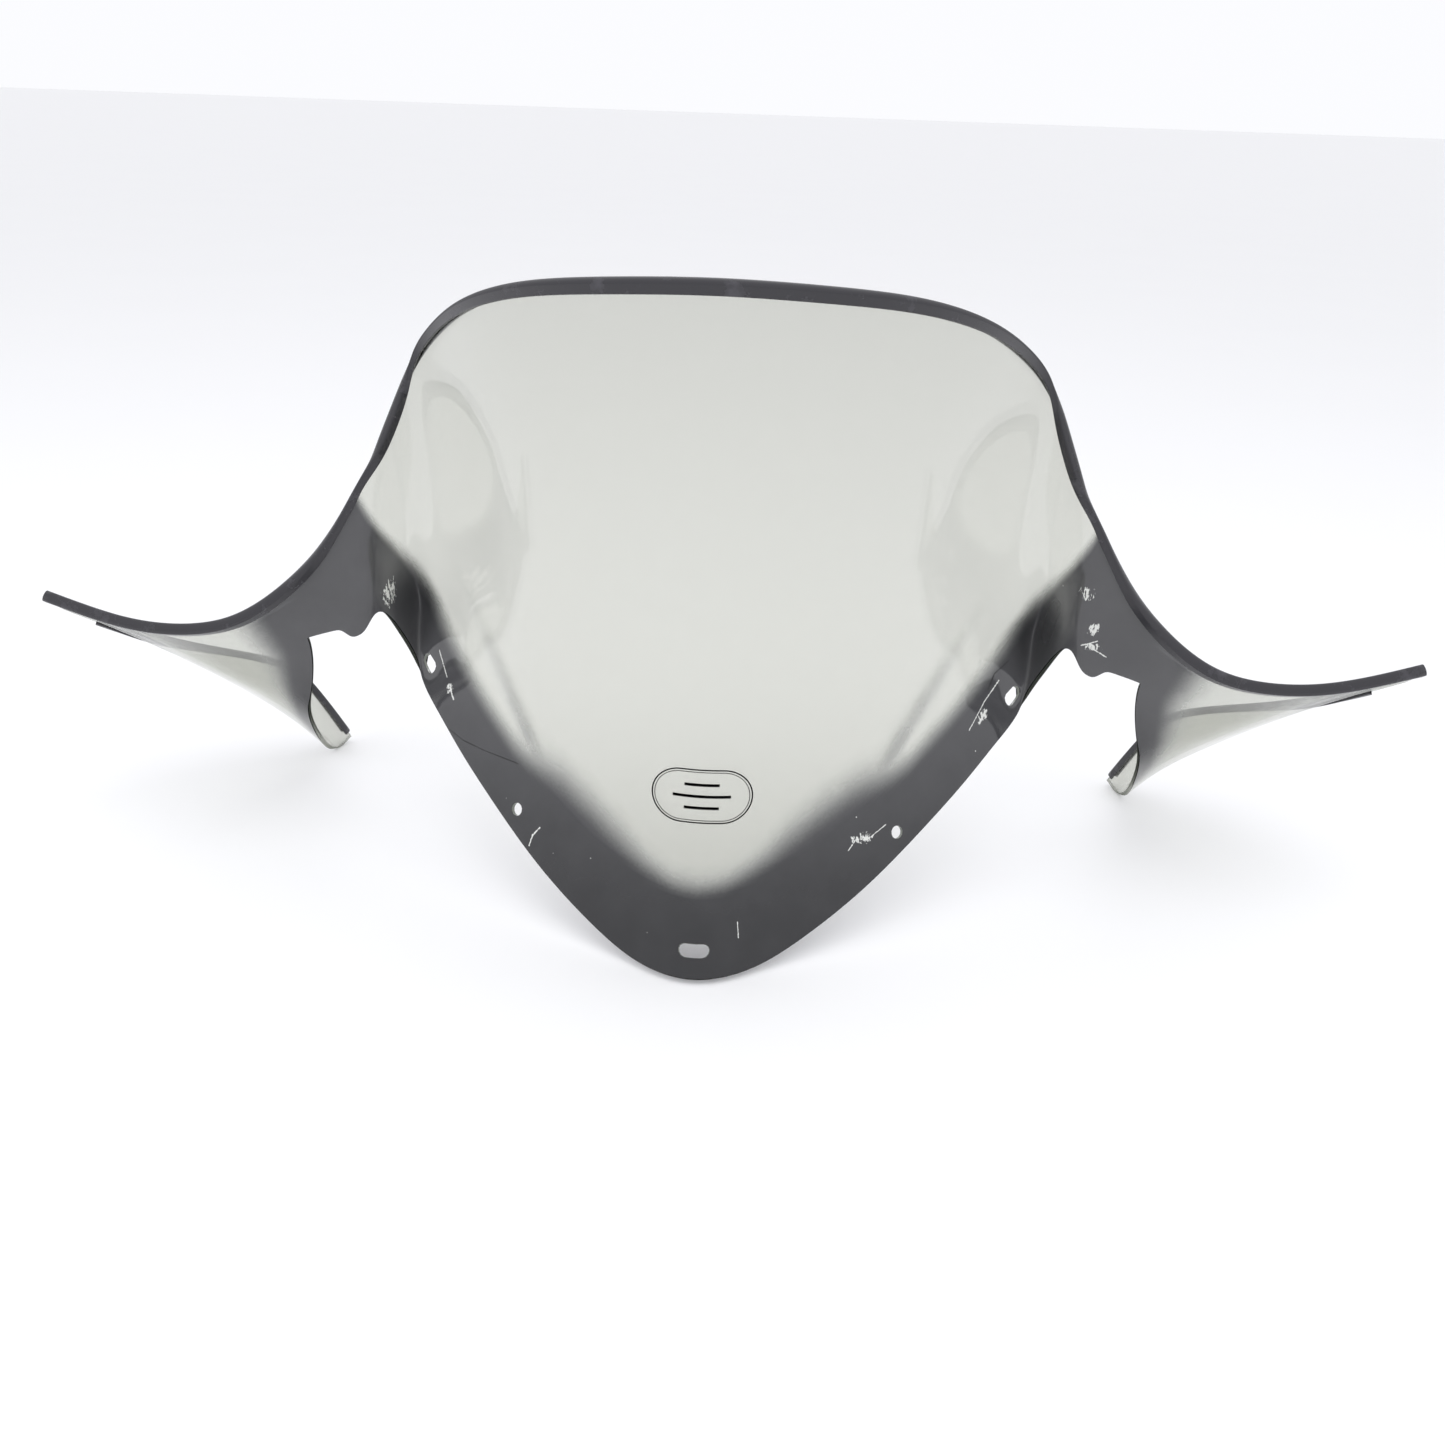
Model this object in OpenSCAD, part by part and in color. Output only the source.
// Smoked windshield screen with hand deflector wings for a snowmobile.
// One formed sheet: a bowed dome, a flange along its V shaped lower hem, and two wings that
// sweep out and fold under into short rear flaps. Slip-on edge trims close the free edges.
// Frame: +X along the width, +Y rearward, +Z up, origin on the floor below the middle of the box.

/* [Overall size] */
// Width across the wing tips of the bare sheet
screen_w = 796; // [660:1:960]
// Depth of the sheet from the hem tip to the flap corners
screen_d = 262; // [215:1:320]
// Height of the bare sheet above the floor
screen_h = 348; // [290:1:420]

/* [Sheet] */
// Thickness of the formed sheet
sheet_t = 3; // [2:0.1:4]
// Width of the rounded tab in each notch
tab_w = 15; // [8:0.5:24]
// How far the tab hangs below the notch edge
tab_drop = 7; // [3:0.5:12]

/* [Holes] */
// Distance of the hole centres from the hem
hole_inset = 15; // [12:0.5:20]
// Diameter of the two round side holes
side_hole_d = 7; // [4:0.1:9]
// Width of the centre and upper slots
slot_w = 7; // [4:0.1:9]
// End-to-end length of the centre slot
slot_l = 16; // [12:0.5:24]
// End-to-end length of the upper slots
upper_slot_l = 15; // [12:0.5:20]

/* [Edge trim] */
// Wall of the trim's channel
trim_wall = 1.8; // [0.8:0.1:2]
// Depth by which the channel covers the upper edge
top_grip = 5; // [4:0.25:8]
// Depth by which the channels cover the wings' rear edges
rear_grip = 3.25; // [3:0.25:6]
// Clearance between the sheet and the inside of the channel
trim_gap = 0.15; // [0.1:0.05:0.3]
// Bare length left at the inner end of each wing's rear edge
trim_stop = 7; // [4:0.5:12]

/* [Emblem] */
// Width of the emblem film
emblem_w = 54; // [30:1:64]
// Height of the emblem film
emblem_h = 32; // [16:1:36]
// Thickness of the emblem film
emblem_t = 0.4; // [0.3:0.05:1]
// Height of the emblem's middle above the floor
emblem_z = 93; // [76:1:110]

/* [Hidden] */

smoke = [0.62, 0.64, 0.6, 0.55];
black = [0.05, 0.05, 0.055];
silver = [0.45, 0.46, 0.47];

// The curves below are drawn for a sheet of this width, depth and height
drawn = [796, 262, 348];

// Stations from the middle of the screen to the wing tip. Each row holds the station's place
// u and the points of the upper edge, the knee where the flange turns into the dome, and the
// lower front edge, then how far the dome's belly stands behind the straight line.
stations = [
    [0.00, [0, 30, 348],    [0, 32, 42],     [0, 0, 0],       12],
    [0.08, [48, 36, 346],   [36, 42, 49],    [30, 12, 1],     12],
    [0.16, [90, 60, 340],   [64, 59, 62],    [58, 31, 11],    12],
    [0.25, [127, 98, 327],  [94, 82, 81],    [90, 56, 29],    12],
    [0.34, [154, 136, 309], [120, 108, 101], [120, 83, 51],   12],
    [0.42, [172, 157, 290], [142, 134, 119], [145, 108, 71],  12],
    [0.50, [183, 160, 267], [160, 160, 131], [164, 130, 87],  8],
    [0.57, [191, 153, 246], [176, 180, 136], [178, 150, 98],  2],
    [0.62, [198, 148, 231], [190, 189, 135], [187, 160, 112], -4],
    [0.65, [204, 146, 221], [195, 172, 144], [194, 160, 125], -4],
    [0.68, [210, 145, 211], [201, 152, 158], [201, 153, 139], 0],
    [0.72, [219, 143, 196], [213, 145, 151], [211, 147, 135], 0],
    [0.76, [231, 136, 178], [226, 142, 145], [224, 145, 130], 0],
    [0.80, [246, 127, 162], [246, 137, 143], [245, 147, 123], 0],
    [0.85, [268, 120, 146], [264, 132, 132], [262, 143, 117], 2],
    [0.90, [298, 121, 135], [295, 134, 125], [293, 146, 111], 2],
    [0.95, [345, 130, 132], [343, 139, 126], [342, 149, 117], 1],
    [1.00, [398, 139, 143], [398, 141, 142], [398, 143, 140], 0]];

// Stations of the wing's lower half, from the leg by the notch to the tip: the low front
// face, the turn above the fold, the heel that the screen stands on, and the rear edge
folds = [
    [0.80, [254, 166, 78],  [264, 190, 43],  [273, 244, 0],   [267, 262, 2]],
    [0.85, [270, 165, 82],  [281, 196, 48],  [288, 224, 36],  [281, 235, 52]],
    [0.90, [298, 170, 81],  [306, 196, 63],  [311, 211, 61],  [305, 222, 75]],
    [0.95, [345, 164, 106], [349, 175, 99],  [353, 182, 98],  [356, 186, 100]],
    [1.00, [397, 146, 137], [397, 148, 135], [396, 150, 133], [395, 152, 131]]];

// Row places: upper edge, belly, knee and front edge, then the rows of the wing's folds
belly_v = 0.42;
knee_v = 0.8;
front_rows = [0, belly_v, knee_v, 1];
fold_rows = [1, 1.35, 1.65, 1.85, 2];
belly_share = 0.45;
knee_round = 0.05;
crease_from = 0.55;
crease_to = 0.66;
leg_u = 0.8;
tab_x = 214;
trim_end_u = 0.985;

// Grid: station places of the columns and row places of the sheet's mesh
dome_cols = [for (u = [0:0.04:0.56]) u];
notch_cols = [for (k = [0:11]) 0.58 + 0.02 * k];
wing_cols = [for (k = [1:9]) 0.8 + 0.02 * k];
cols = concat(dome_cols, notch_cols, wing_cols, [trim_end_u, 1]);
front_v = [0, 0.05, 0.14, 0.24, 0.34, 0.44, 0.54, 0.63, 0.7, 0.75, 0.783, 0.817, 0.85, 0.92, 1];
fold_v = [1.12, 1.24, 1.36, 1.47, 1.57, 1.65, 1.71, 1.77, 1.83, 1.89, 1.95, 2];
rows = concat(front_v, fold_v);
last_col = len(cols) - 1;
leg_col = len([for (u = cols) if (u < leg_u - 0.001) u]);
hem_row = len(front_v) - 1;
last_row = len(rows) - 1;

// Interval of the rising list t that holds x
function interval(t, x) = len([for (k = [1:len(t) - 2]) if (t[k] <= x) k]);

// Slopes of the smoothest curve through the points p at the places t. Its bend changes without
// a break and it is straight at its end. It starts with the slope given, or straight.
function swept(p, t, start, k, done) =
    k == len(p) ? done :
    let (b = k == 0 ? 0 : 1 / (t[k] - t[k - 1]))
    let (a = k == len(p) - 1 ? 0 : 1 / (t[k + 1] - t[k]))
    let (before = k == 0 ? [0, p[0] * 0] : done[k - 1])
    let (pull_back = k == 0 ? p[0] * 0 : (p[k] - p[k - 1]) * b * b)
    let (pull_on = a == 0 ? p[0] * 0 : (p[k + 1] - p[k]) * a * a)
    let (pivot = 2 * (a + b) - b * before[0])
    let (free = [a / pivot, (3 * (pull_back + pull_on) - b * before[1]) / pivot])
    swept(p, t, start, k + 1, concat(done, [k == 0 && start != undef ? [0, start] : free]));
function settled(s, k, m) = k < 0 ? m : settled(s, k - 1, concat([s[k][1] - s[k][0] * m[0]], m));
function slopes(p, t, start) =
    let (s = swept(p, t, start, 0, []))
    settled(s, len(p) - 2, [s[len(p) - 1][1]]);

// Point at x of the curve through p with the slopes m at the places t
function cubic(p0, m0, p1, m1, h, s) =
    (2 * s * s * s - 3 * s * s + 1) * p0 + (s * s * s - 2 * s * s + s) * h * m0
    + (3 * s * s - 2 * s * s * s) * p1 + (s * s * s - s * s) * h * m1;
function spline(p, t, m, x) =
    let (k = interval(t, x), h = t[k + 1] - t[k])
    cubic(p[k], m[k], p[k + 1], m[k + 1], h, (x - t[k]) / h);

// Curves along the width: each crosses the middle plane square to it
station_u = [for (s = stations) s[0]];
fold_u = [for (s = folds) s[0]];
top_line = [for (s = stations) s[1]];
knee_line = [for (s = stations) s[2]];
hem_line = [for (s = stations) s[3]];
belly_line = [for (s = stations) [0, s[4], 0]];
fold_lines = [for (k = [1:4]) [for (s = folds) s[k]]];
function crossing(p) = slopes(p, station_u, [(p[1][0] - p[0][0]) / station_u[1], 0, 0]);
top_slopes = crossing(top_line);
knee_slopes = crossing(knee_line);
hem_slopes = crossing(hem_line);
belly_slopes = crossing(belly_line);
fold_slopes = [for (line = fold_lines) slopes(line, fold_u)];

// A rounded tab hangs from the notch edge: a bump of the hem's height about tab_x
function tab(p, u) =
    u < leg_u ? [0, 0, -tab_drop * exp(-pow(abs(p[0] - tab_x) * 2 / tab_w, 3))] : [0, 0, 0];

// Points of the upper edge, the belly, the knee and the front edge at station u
function front_section(u) =
    let (top = spline(top_line, station_u, top_slopes, u))
    let (knee = spline(knee_line, station_u, knee_slopes, u))
    let (hem = spline(hem_line, station_u, hem_slopes, u))
    let (belly = spline(belly_line, station_u, belly_slopes, u))
    [top, top * (1 - belly_share) + knee * belly_share + belly, knee, hem + tab(hem, u)];

// The dome as it is formed: a plain bend from the upper edge to the knee, a straight flange
// to the hem and a rounded knee between them
function dome_bend(s, v) =
    let (r = (s[1] - s[0]) / belly_v, q = (s[2] - s[1]) / (knee_v - belly_v))
    [s[0] + r * v + (q - r) / knee_v * v * (v - belly_v), r + (q - r) / knee_v * (2 * v - belly_v)];
function formed(s, v) =
    let (flange = (s[3] - s[2]) / (1 - knee_v), before = dome_bend(s, knee_v - knee_round))
    v <= knee_v - knee_round ? dome_bend(s, v)[0] :
    v >= knee_v + knee_round ? s[3] + flange * (v - 1) :
    cubic(before[0], before[1], s[2] + flange * knee_round, flange,
        2 * knee_round, (v - knee_v + knee_round) / (2 * knee_round));

// How much of the formed knee shows at station u: all on the dome, none from the notch on
function crease(u) =
    let (s = min(max((u - crease_from) / (crease_to - crease_from), 0), 1))
    1 - s * s * (3 - 2 * s);

// Point at row v of the profile: s holds the front section, m its slopes, and fold and n the
// wing's lower points and slopes
function front_point(s, m, w, v) =
    w == 0 ? spline(s, front_rows, m, v) :
    spline(s, front_rows, m, v) * (1 - w) + formed(s, v) * w;
function fold_section(u, hem) =
    concat([hem], [for (k = [0:3]) spline(fold_lines[k], fold_u, fold_slopes[k], u)]);

// Size of the sheet, and the point of its middle surface at station u and front row v
function fit(p) = [p[0] * screen_w / drawn[0], p[1] * screen_d / drawn[1], p[2] * screen_h / drawn[2]];
function surface_point(u, v) =
    let (s = front_section(u))
    fit(front_point(s, slopes(s, front_rows), crease(u), v));

// Columns of points from the left tip to the right tip
function flip(p) = [-p[0], p[1], p[2]];
function rows_of(i) = i < leg_col ? hem_row : last_row;
half = [for (i = [0:last_col])
    let (u = cols[i], s = front_section(u), m = slopes(s, front_rows), w = crease(u))
    let (f = i < leg_col ? [] : fold_section(u, s[3]))
    let (n = i < leg_col ? [] : slopes(f, fold_rows, m[3]))
    [for (j = [0:rows_of(i)])
        fit(j <= hem_row ? front_point(s, m, w, rows[j]) : spline(f, fold_rows, n, rows[j]))]];
function grid(i, j) = i < 0 ? flip(half[-i][j]) : half[i][j];

function unit(v) = v / norm(v);
function normal(i, j) =
    let (a = max(i - 1, -last_col), b = min(i + 1, last_col))
    let (i0 = j > rows_of(abs(a)) ? i : a, i1 = j > rows_of(abs(b)) ? i : b)
    let (j0 = max(j - 1, 0), j1 = min(j + 1, rows_of(abs(i))))
    unit(cross(grid(i1, j) - grid(i0, j), grid(i, j1) - grid(i, j0)));

// side 1 is the face towards the front, side -1 the rear one
function skin(i, j, side) = grid(i, j) - normal(i, j) * side * sheet_t / 2;

// Everything stands on the floor and lies about the middle of its depth
lowest = min([for (i = [0:last_col]) for (j = [0:rows_of(i)]) for (s = [-1, 1]) skin(i, j, s)[2]]);
foremost = min([for (i = [0:last_col]) for (j = [0:rows_of(i)]) for (s = [-1, 1]) skin(i, j, s)[1]]);
rearmost = max([for (i = [0:last_col]) for (j = [0:rows_of(i)]) for (s = [-1, 1]) skin(i, j, s)[1]]);
place = [0, -(foremost + rearmost) / 2, -lowest];

// Numbering of the grid's points, column after column, for one side of the sheet
counts = [for (i = [-last_col:last_col]) rows_of(abs(i)) + 1];
function total(list, n) = n == 0 ? 0 : list[n - 1] + total(list, n - 1);
starts = [for (k = [0:len(counts)]) total(counts, k)];
function id(i, j) = starts[i + last_col] + j;

// The grid's border, once around, as [column, row] pairs
border = concat(
    [for (i = [-last_col:last_col]) [i, 0]],
    [for (j = [1:last_row]) [last_col, j]],
    [for (i = [last_col - 1:-1:leg_col]) [i, last_row]],
    [for (j = [last_row - 1:-1:hem_row]) [leg_col, j]],
    [for (i = [leg_col - 1:-1:-leg_col]) [i, hem_row]],
    [for (j = [hem_row + 1:last_row]) [-leg_col, j]],
    [for (i = [-leg_col - 1:-1:-last_col]) [i, last_row]],
    [for (j = [last_row - 1:-1:1]) [-last_col, j]]);

module sheet() {
    sheet_points = concat(
        [for (i = [-last_col:last_col]) for (j = [0:rows_of(abs(i))]) skin(i, j, 1)],
        [for (i = [-last_col:last_col]) for (j = [0:rows_of(abs(i))]) skin(i, j, -1)]);
    back = starts[len(counts)];
    cells = [for (i = [-last_col:last_col - 1])
        for (j = [0:min(rows_of(abs(i)), rows_of(abs(i + 1))) - 1]) [i, j]];
    front_faces = [for (c = cells) for (f = [
        [id(c[0], c[1]), id(c[0] + 1, c[1]), id(c[0] + 1, c[1] + 1)],
        [id(c[0], c[1]), id(c[0] + 1, c[1] + 1), id(c[0], c[1] + 1)]]) f];
    back_faces = [for (f = front_faces) [f[0] + back, f[2] + back, f[1] + back]];
    n = len(border);
    rim_faces = [for (k = [0:n - 1])
        let (a = id(border[k][0], border[k][1]))
        let (b = id(border[(k + 1) % n][0], border[(k + 1) % n][1]))
        for (f = [[a, a + back, b], [b, a + back, b + back]]) f];
    polyhedron(points = sheet_points, faces = concat(front_faces, back_faces, rim_faces), convexity = 8);
}

// A frame on the sheet near the hem: the point that lies inset from the hem at station u, with
// z along the sheet's normal out of its front face and x along the hem
function inset_v(u, inset) = 1 - inset / norm(surface_point(u, 0.93) - surface_point(u, 1)) * 0.07;
function hem_frame(u, inset) =
    let (v = inset_v(u, inset))
    let (along = u == 0 ? [1, 0, 0] : unit(surface_point(u + 0.01, v) - surface_point(u - 0.01, v)))
    let (down = unit(surface_point(u, v + 0.03) - surface_point(u, v - 0.03)))
    let (out = unit(cross(down, along)))
    [surface_point(u, v), along, cross(out, along), out];

module on_sheet(u, inset, side) {
    f = hem_frame(u, inset);
    x = [side * f[1][0], f[1][1], f[1][2]];
    y = [side * f[2][0], f[2][1], f[2][2]] * side;
    z = [side * f[3][0], f[3][1], f[3][2]];
    multmatrix([
        [x[0], y[0], z[0], side * f[0][0]],
        [x[1], y[1], z[1], f[0][1]],
        [x[2], y[2], z[2], f[0][2]],
        [0, 0, 0, 1]]) children();
}

drill_l = sheet_t * 4;
side_hole_u = 0.297;
upper_slot_u = 0.552;

module round_hole(d) {
    cylinder(h = drill_l, d = d, center = true, $fn = 48);
}

module slot_hole(l, w) {
    for (s = [-1, 1]) translate([s * (l - w) / 2, 0, 0]) round_hole(w);
    cube([l - w, w, drill_l], center = true);
}

module screen() {
    color(smoke) translate(place) difference() {
        sheet();
        on_sheet(0, hole_inset, 1) slot_hole(slot_l, slot_w);
        for (side = [-1, 1]) {
            on_sheet(side_hole_u, hole_inset, side) round_hole(side_hole_d);
            on_sheet(upper_slot_u, hole_inset, side) slot_hole(upper_slot_l, slot_w);
        }
    }
}

// Channel of the edge trim in its own plane: x outwards over the edge, y through the sheet.
// The closed outline runs round the outside and back round the inside of the channel.
slot_half = sheet_t / 2 + trim_gap;
outer_half = slot_half + trim_wall;
crown = trim_gap + trim_wall;
function channel(grip) = concat(
    [[-grip, -slot_half], [-grip, -outer_half]],
    [for (a = [-90:30:90]) [crown - outer_half * 0.6 + outer_half * 0.6 * cos(a), outer_half * sin(a)]],
    [[-grip, outer_half], [-grip, slot_half], [trim_gap, slot_half], [trim_gap, -slot_half]]);

// A frame at each point of an edge: the edge point, outwards in the sheet, and the normal
function edge_frame(i, j, inner) =
    let (p = grid(i, j), q = grid(i, inner), n = normal(i, j))
    let (out = p - q)
    [p, unit(out - n * (out * n)), n];

module sweep(frames, grip) {
    ring = channel(grip);
    k = len(ring);
    n = len(frames);
    ring_points = [for (f = frames) for (c = ring) f[0] + f[1] * c[0] + f[2] * c[1]];
    walls = [for (s = [0:n - 2]) for (m = [0:k - 1])
        let (a = s * k + m, b = s * k + (m + 1) % k)
        for (f = [[a, a + k, b], [b, a + k, b + k]]) f];
    start_cap = [[for (m = [0:k - 1]) m]];
    end_cap = [[for (m = [k - 1:-1:0]) (n - 1) * k + m]];
    polyhedron(points = ring_points, faces = concat(walls, start_cap, end_cap), convexity = 8);
}

module top_edge_trim() {
    color(black) translate(place)
        sweep([for (i = [last_col:-1:-last_col]) edge_frame(i, 0, 1)], top_grip);
}

// The rear edge's trim starts trim_stop from the flap corner and ends short of the tip,
// where it would meet the upper trim
function mixed(f, g, s) = [for (k = [0:2]) f[k] * (1 - s) + g[k] * s];
rear_frames = [for (i = [leg_col:last_col - 1]) edge_frame(i, last_row, last_row - 1)];
first_step = norm(rear_frames[1][0] - rear_frames[0][0]);

module wing_trim() {
    start = mixed(rear_frames[0], rear_frames[1], min(trim_stop / first_step, 0.9));
    translate(place)
        sweep(concat([[start[0], unit(start[1]), unit(start[2])]],
            [for (k = [1:len(rear_frames) - 1]) rear_frames[k]]), rear_grip);
}

module right_wing_trim() {
    color(black) wing_trim();
}

module left_wing_trim() {
    color(black) mirror([1, 0, 0]) wing_trim();
}

// Emblem film: a thin patch with round ends that follows the front face about the middle plane
emblem_cols = 12;
emblem_rows = 6;
emblem_gap = 0.05;

// Row of the height z at station u, station of the half width x on row v, both by halving,
// and the pair of them for a point of the film
function row_at(z, u, a, b, n) =
    let (v = (a + b) / 2)
    n == 0 ? v :
    surface_point(u, v)[2] > z ? row_at(z, u, v, b, n - 1) : row_at(z, u, a, v, n - 1);
function station_at(x, v, a, b, n) =
    let (u = (a + b) / 2)
    n == 0 ? u :
    surface_point(u, v)[0] < x ? station_at(x, v, u, b, n - 1) : station_at(x, v, a, u, n - 1);
function film_place(x, z, u, turns) =
    let (v = row_at(z, u, 0.4, 0.95, 13), w = x < 0.001 ? 0 : station_at(x, v, 0, 0.3, 13))
    turns == 0 ? [w, v] : film_place(x, z, w, turns - 1);

function film_frame(x, z) =
    let (c = film_place(x, z, 0, 2), u = c[0], v = c[1], p = surface_point(u, v), e = 0.02)
    let (along = u < 0.001 ? [1, 0, 0] : surface_point(u + e, v) - p)
    [p, unit(cross(surface_point(u, v + e) - surface_point(u, v - e), along))];

module emblem() {
    lift = sheet_t / 2 + emblem_gap;
    end_r = emblem_h / 2;
    // Frames of the film's right half; the left half mirrors it
    film_half = [for (a = [0:emblem_cols])
        let (x = emblem_w / 2 * sin(a * 90 / emblem_cols), past = max(x - emblem_w / 2 + end_r, 0))
        let (z = sqrt(max(end_r * end_r - past * past, end_r)))
        [for (b = [-emblem_rows:emblem_rows]) film_frame(x, emblem_z - place[2] + z * b / emblem_rows)]];
    film_grid = [for (a = [-emblem_cols:emblem_cols]) for (b = [0:2 * emblem_rows])
        a < 0 ? [flip(film_half[-a][b][0]), flip(film_half[-a][b][1])] : film_half[a][b]];
    count = len(film_grid);
    wide = 2 * emblem_rows + 1;
    long = 2 * emblem_cols + 1;
    film_points = concat(
        [for (g = film_grid) g[0] + g[1] * lift],
        [for (g = film_grid) g[0] + g[1] * (lift + emblem_t)]);
    cells = [for (a = [0:long - 2]) for (b = [0:wide - 2]) a * wide + b];
    under = [for (c = cells) for (f = [[c, c + wide, c + 1], [c + 1, c + wide, c + wide + 1]]) f];
    over = [for (f = under) [f[0] + count, f[2] + count, f[1] + count]];
    ring = concat(
        [for (b = [0:wide - 1]) b],
        [for (a = [1:long - 1]) a * wide + wide - 1],
        [for (b = [wide - 2:-1:0]) (long - 1) * wide + b],
        [for (a = [long - 2:-1:1]) a * wide]);
    rim = [for (k = [0:len(ring) - 1])
        let (a = ring[k], b = ring[(k + 1) % len(ring)])
        for (f = [[a, b, a + count], [b, b + count, a + count]]) f];
    color(silver) translate(place)
        polyhedron(points = film_points, faces = concat(under, over, rim), convexity = 4);
}

screen();
top_edge_trim();
left_wing_trim();
right_wing_trim();
emblem();
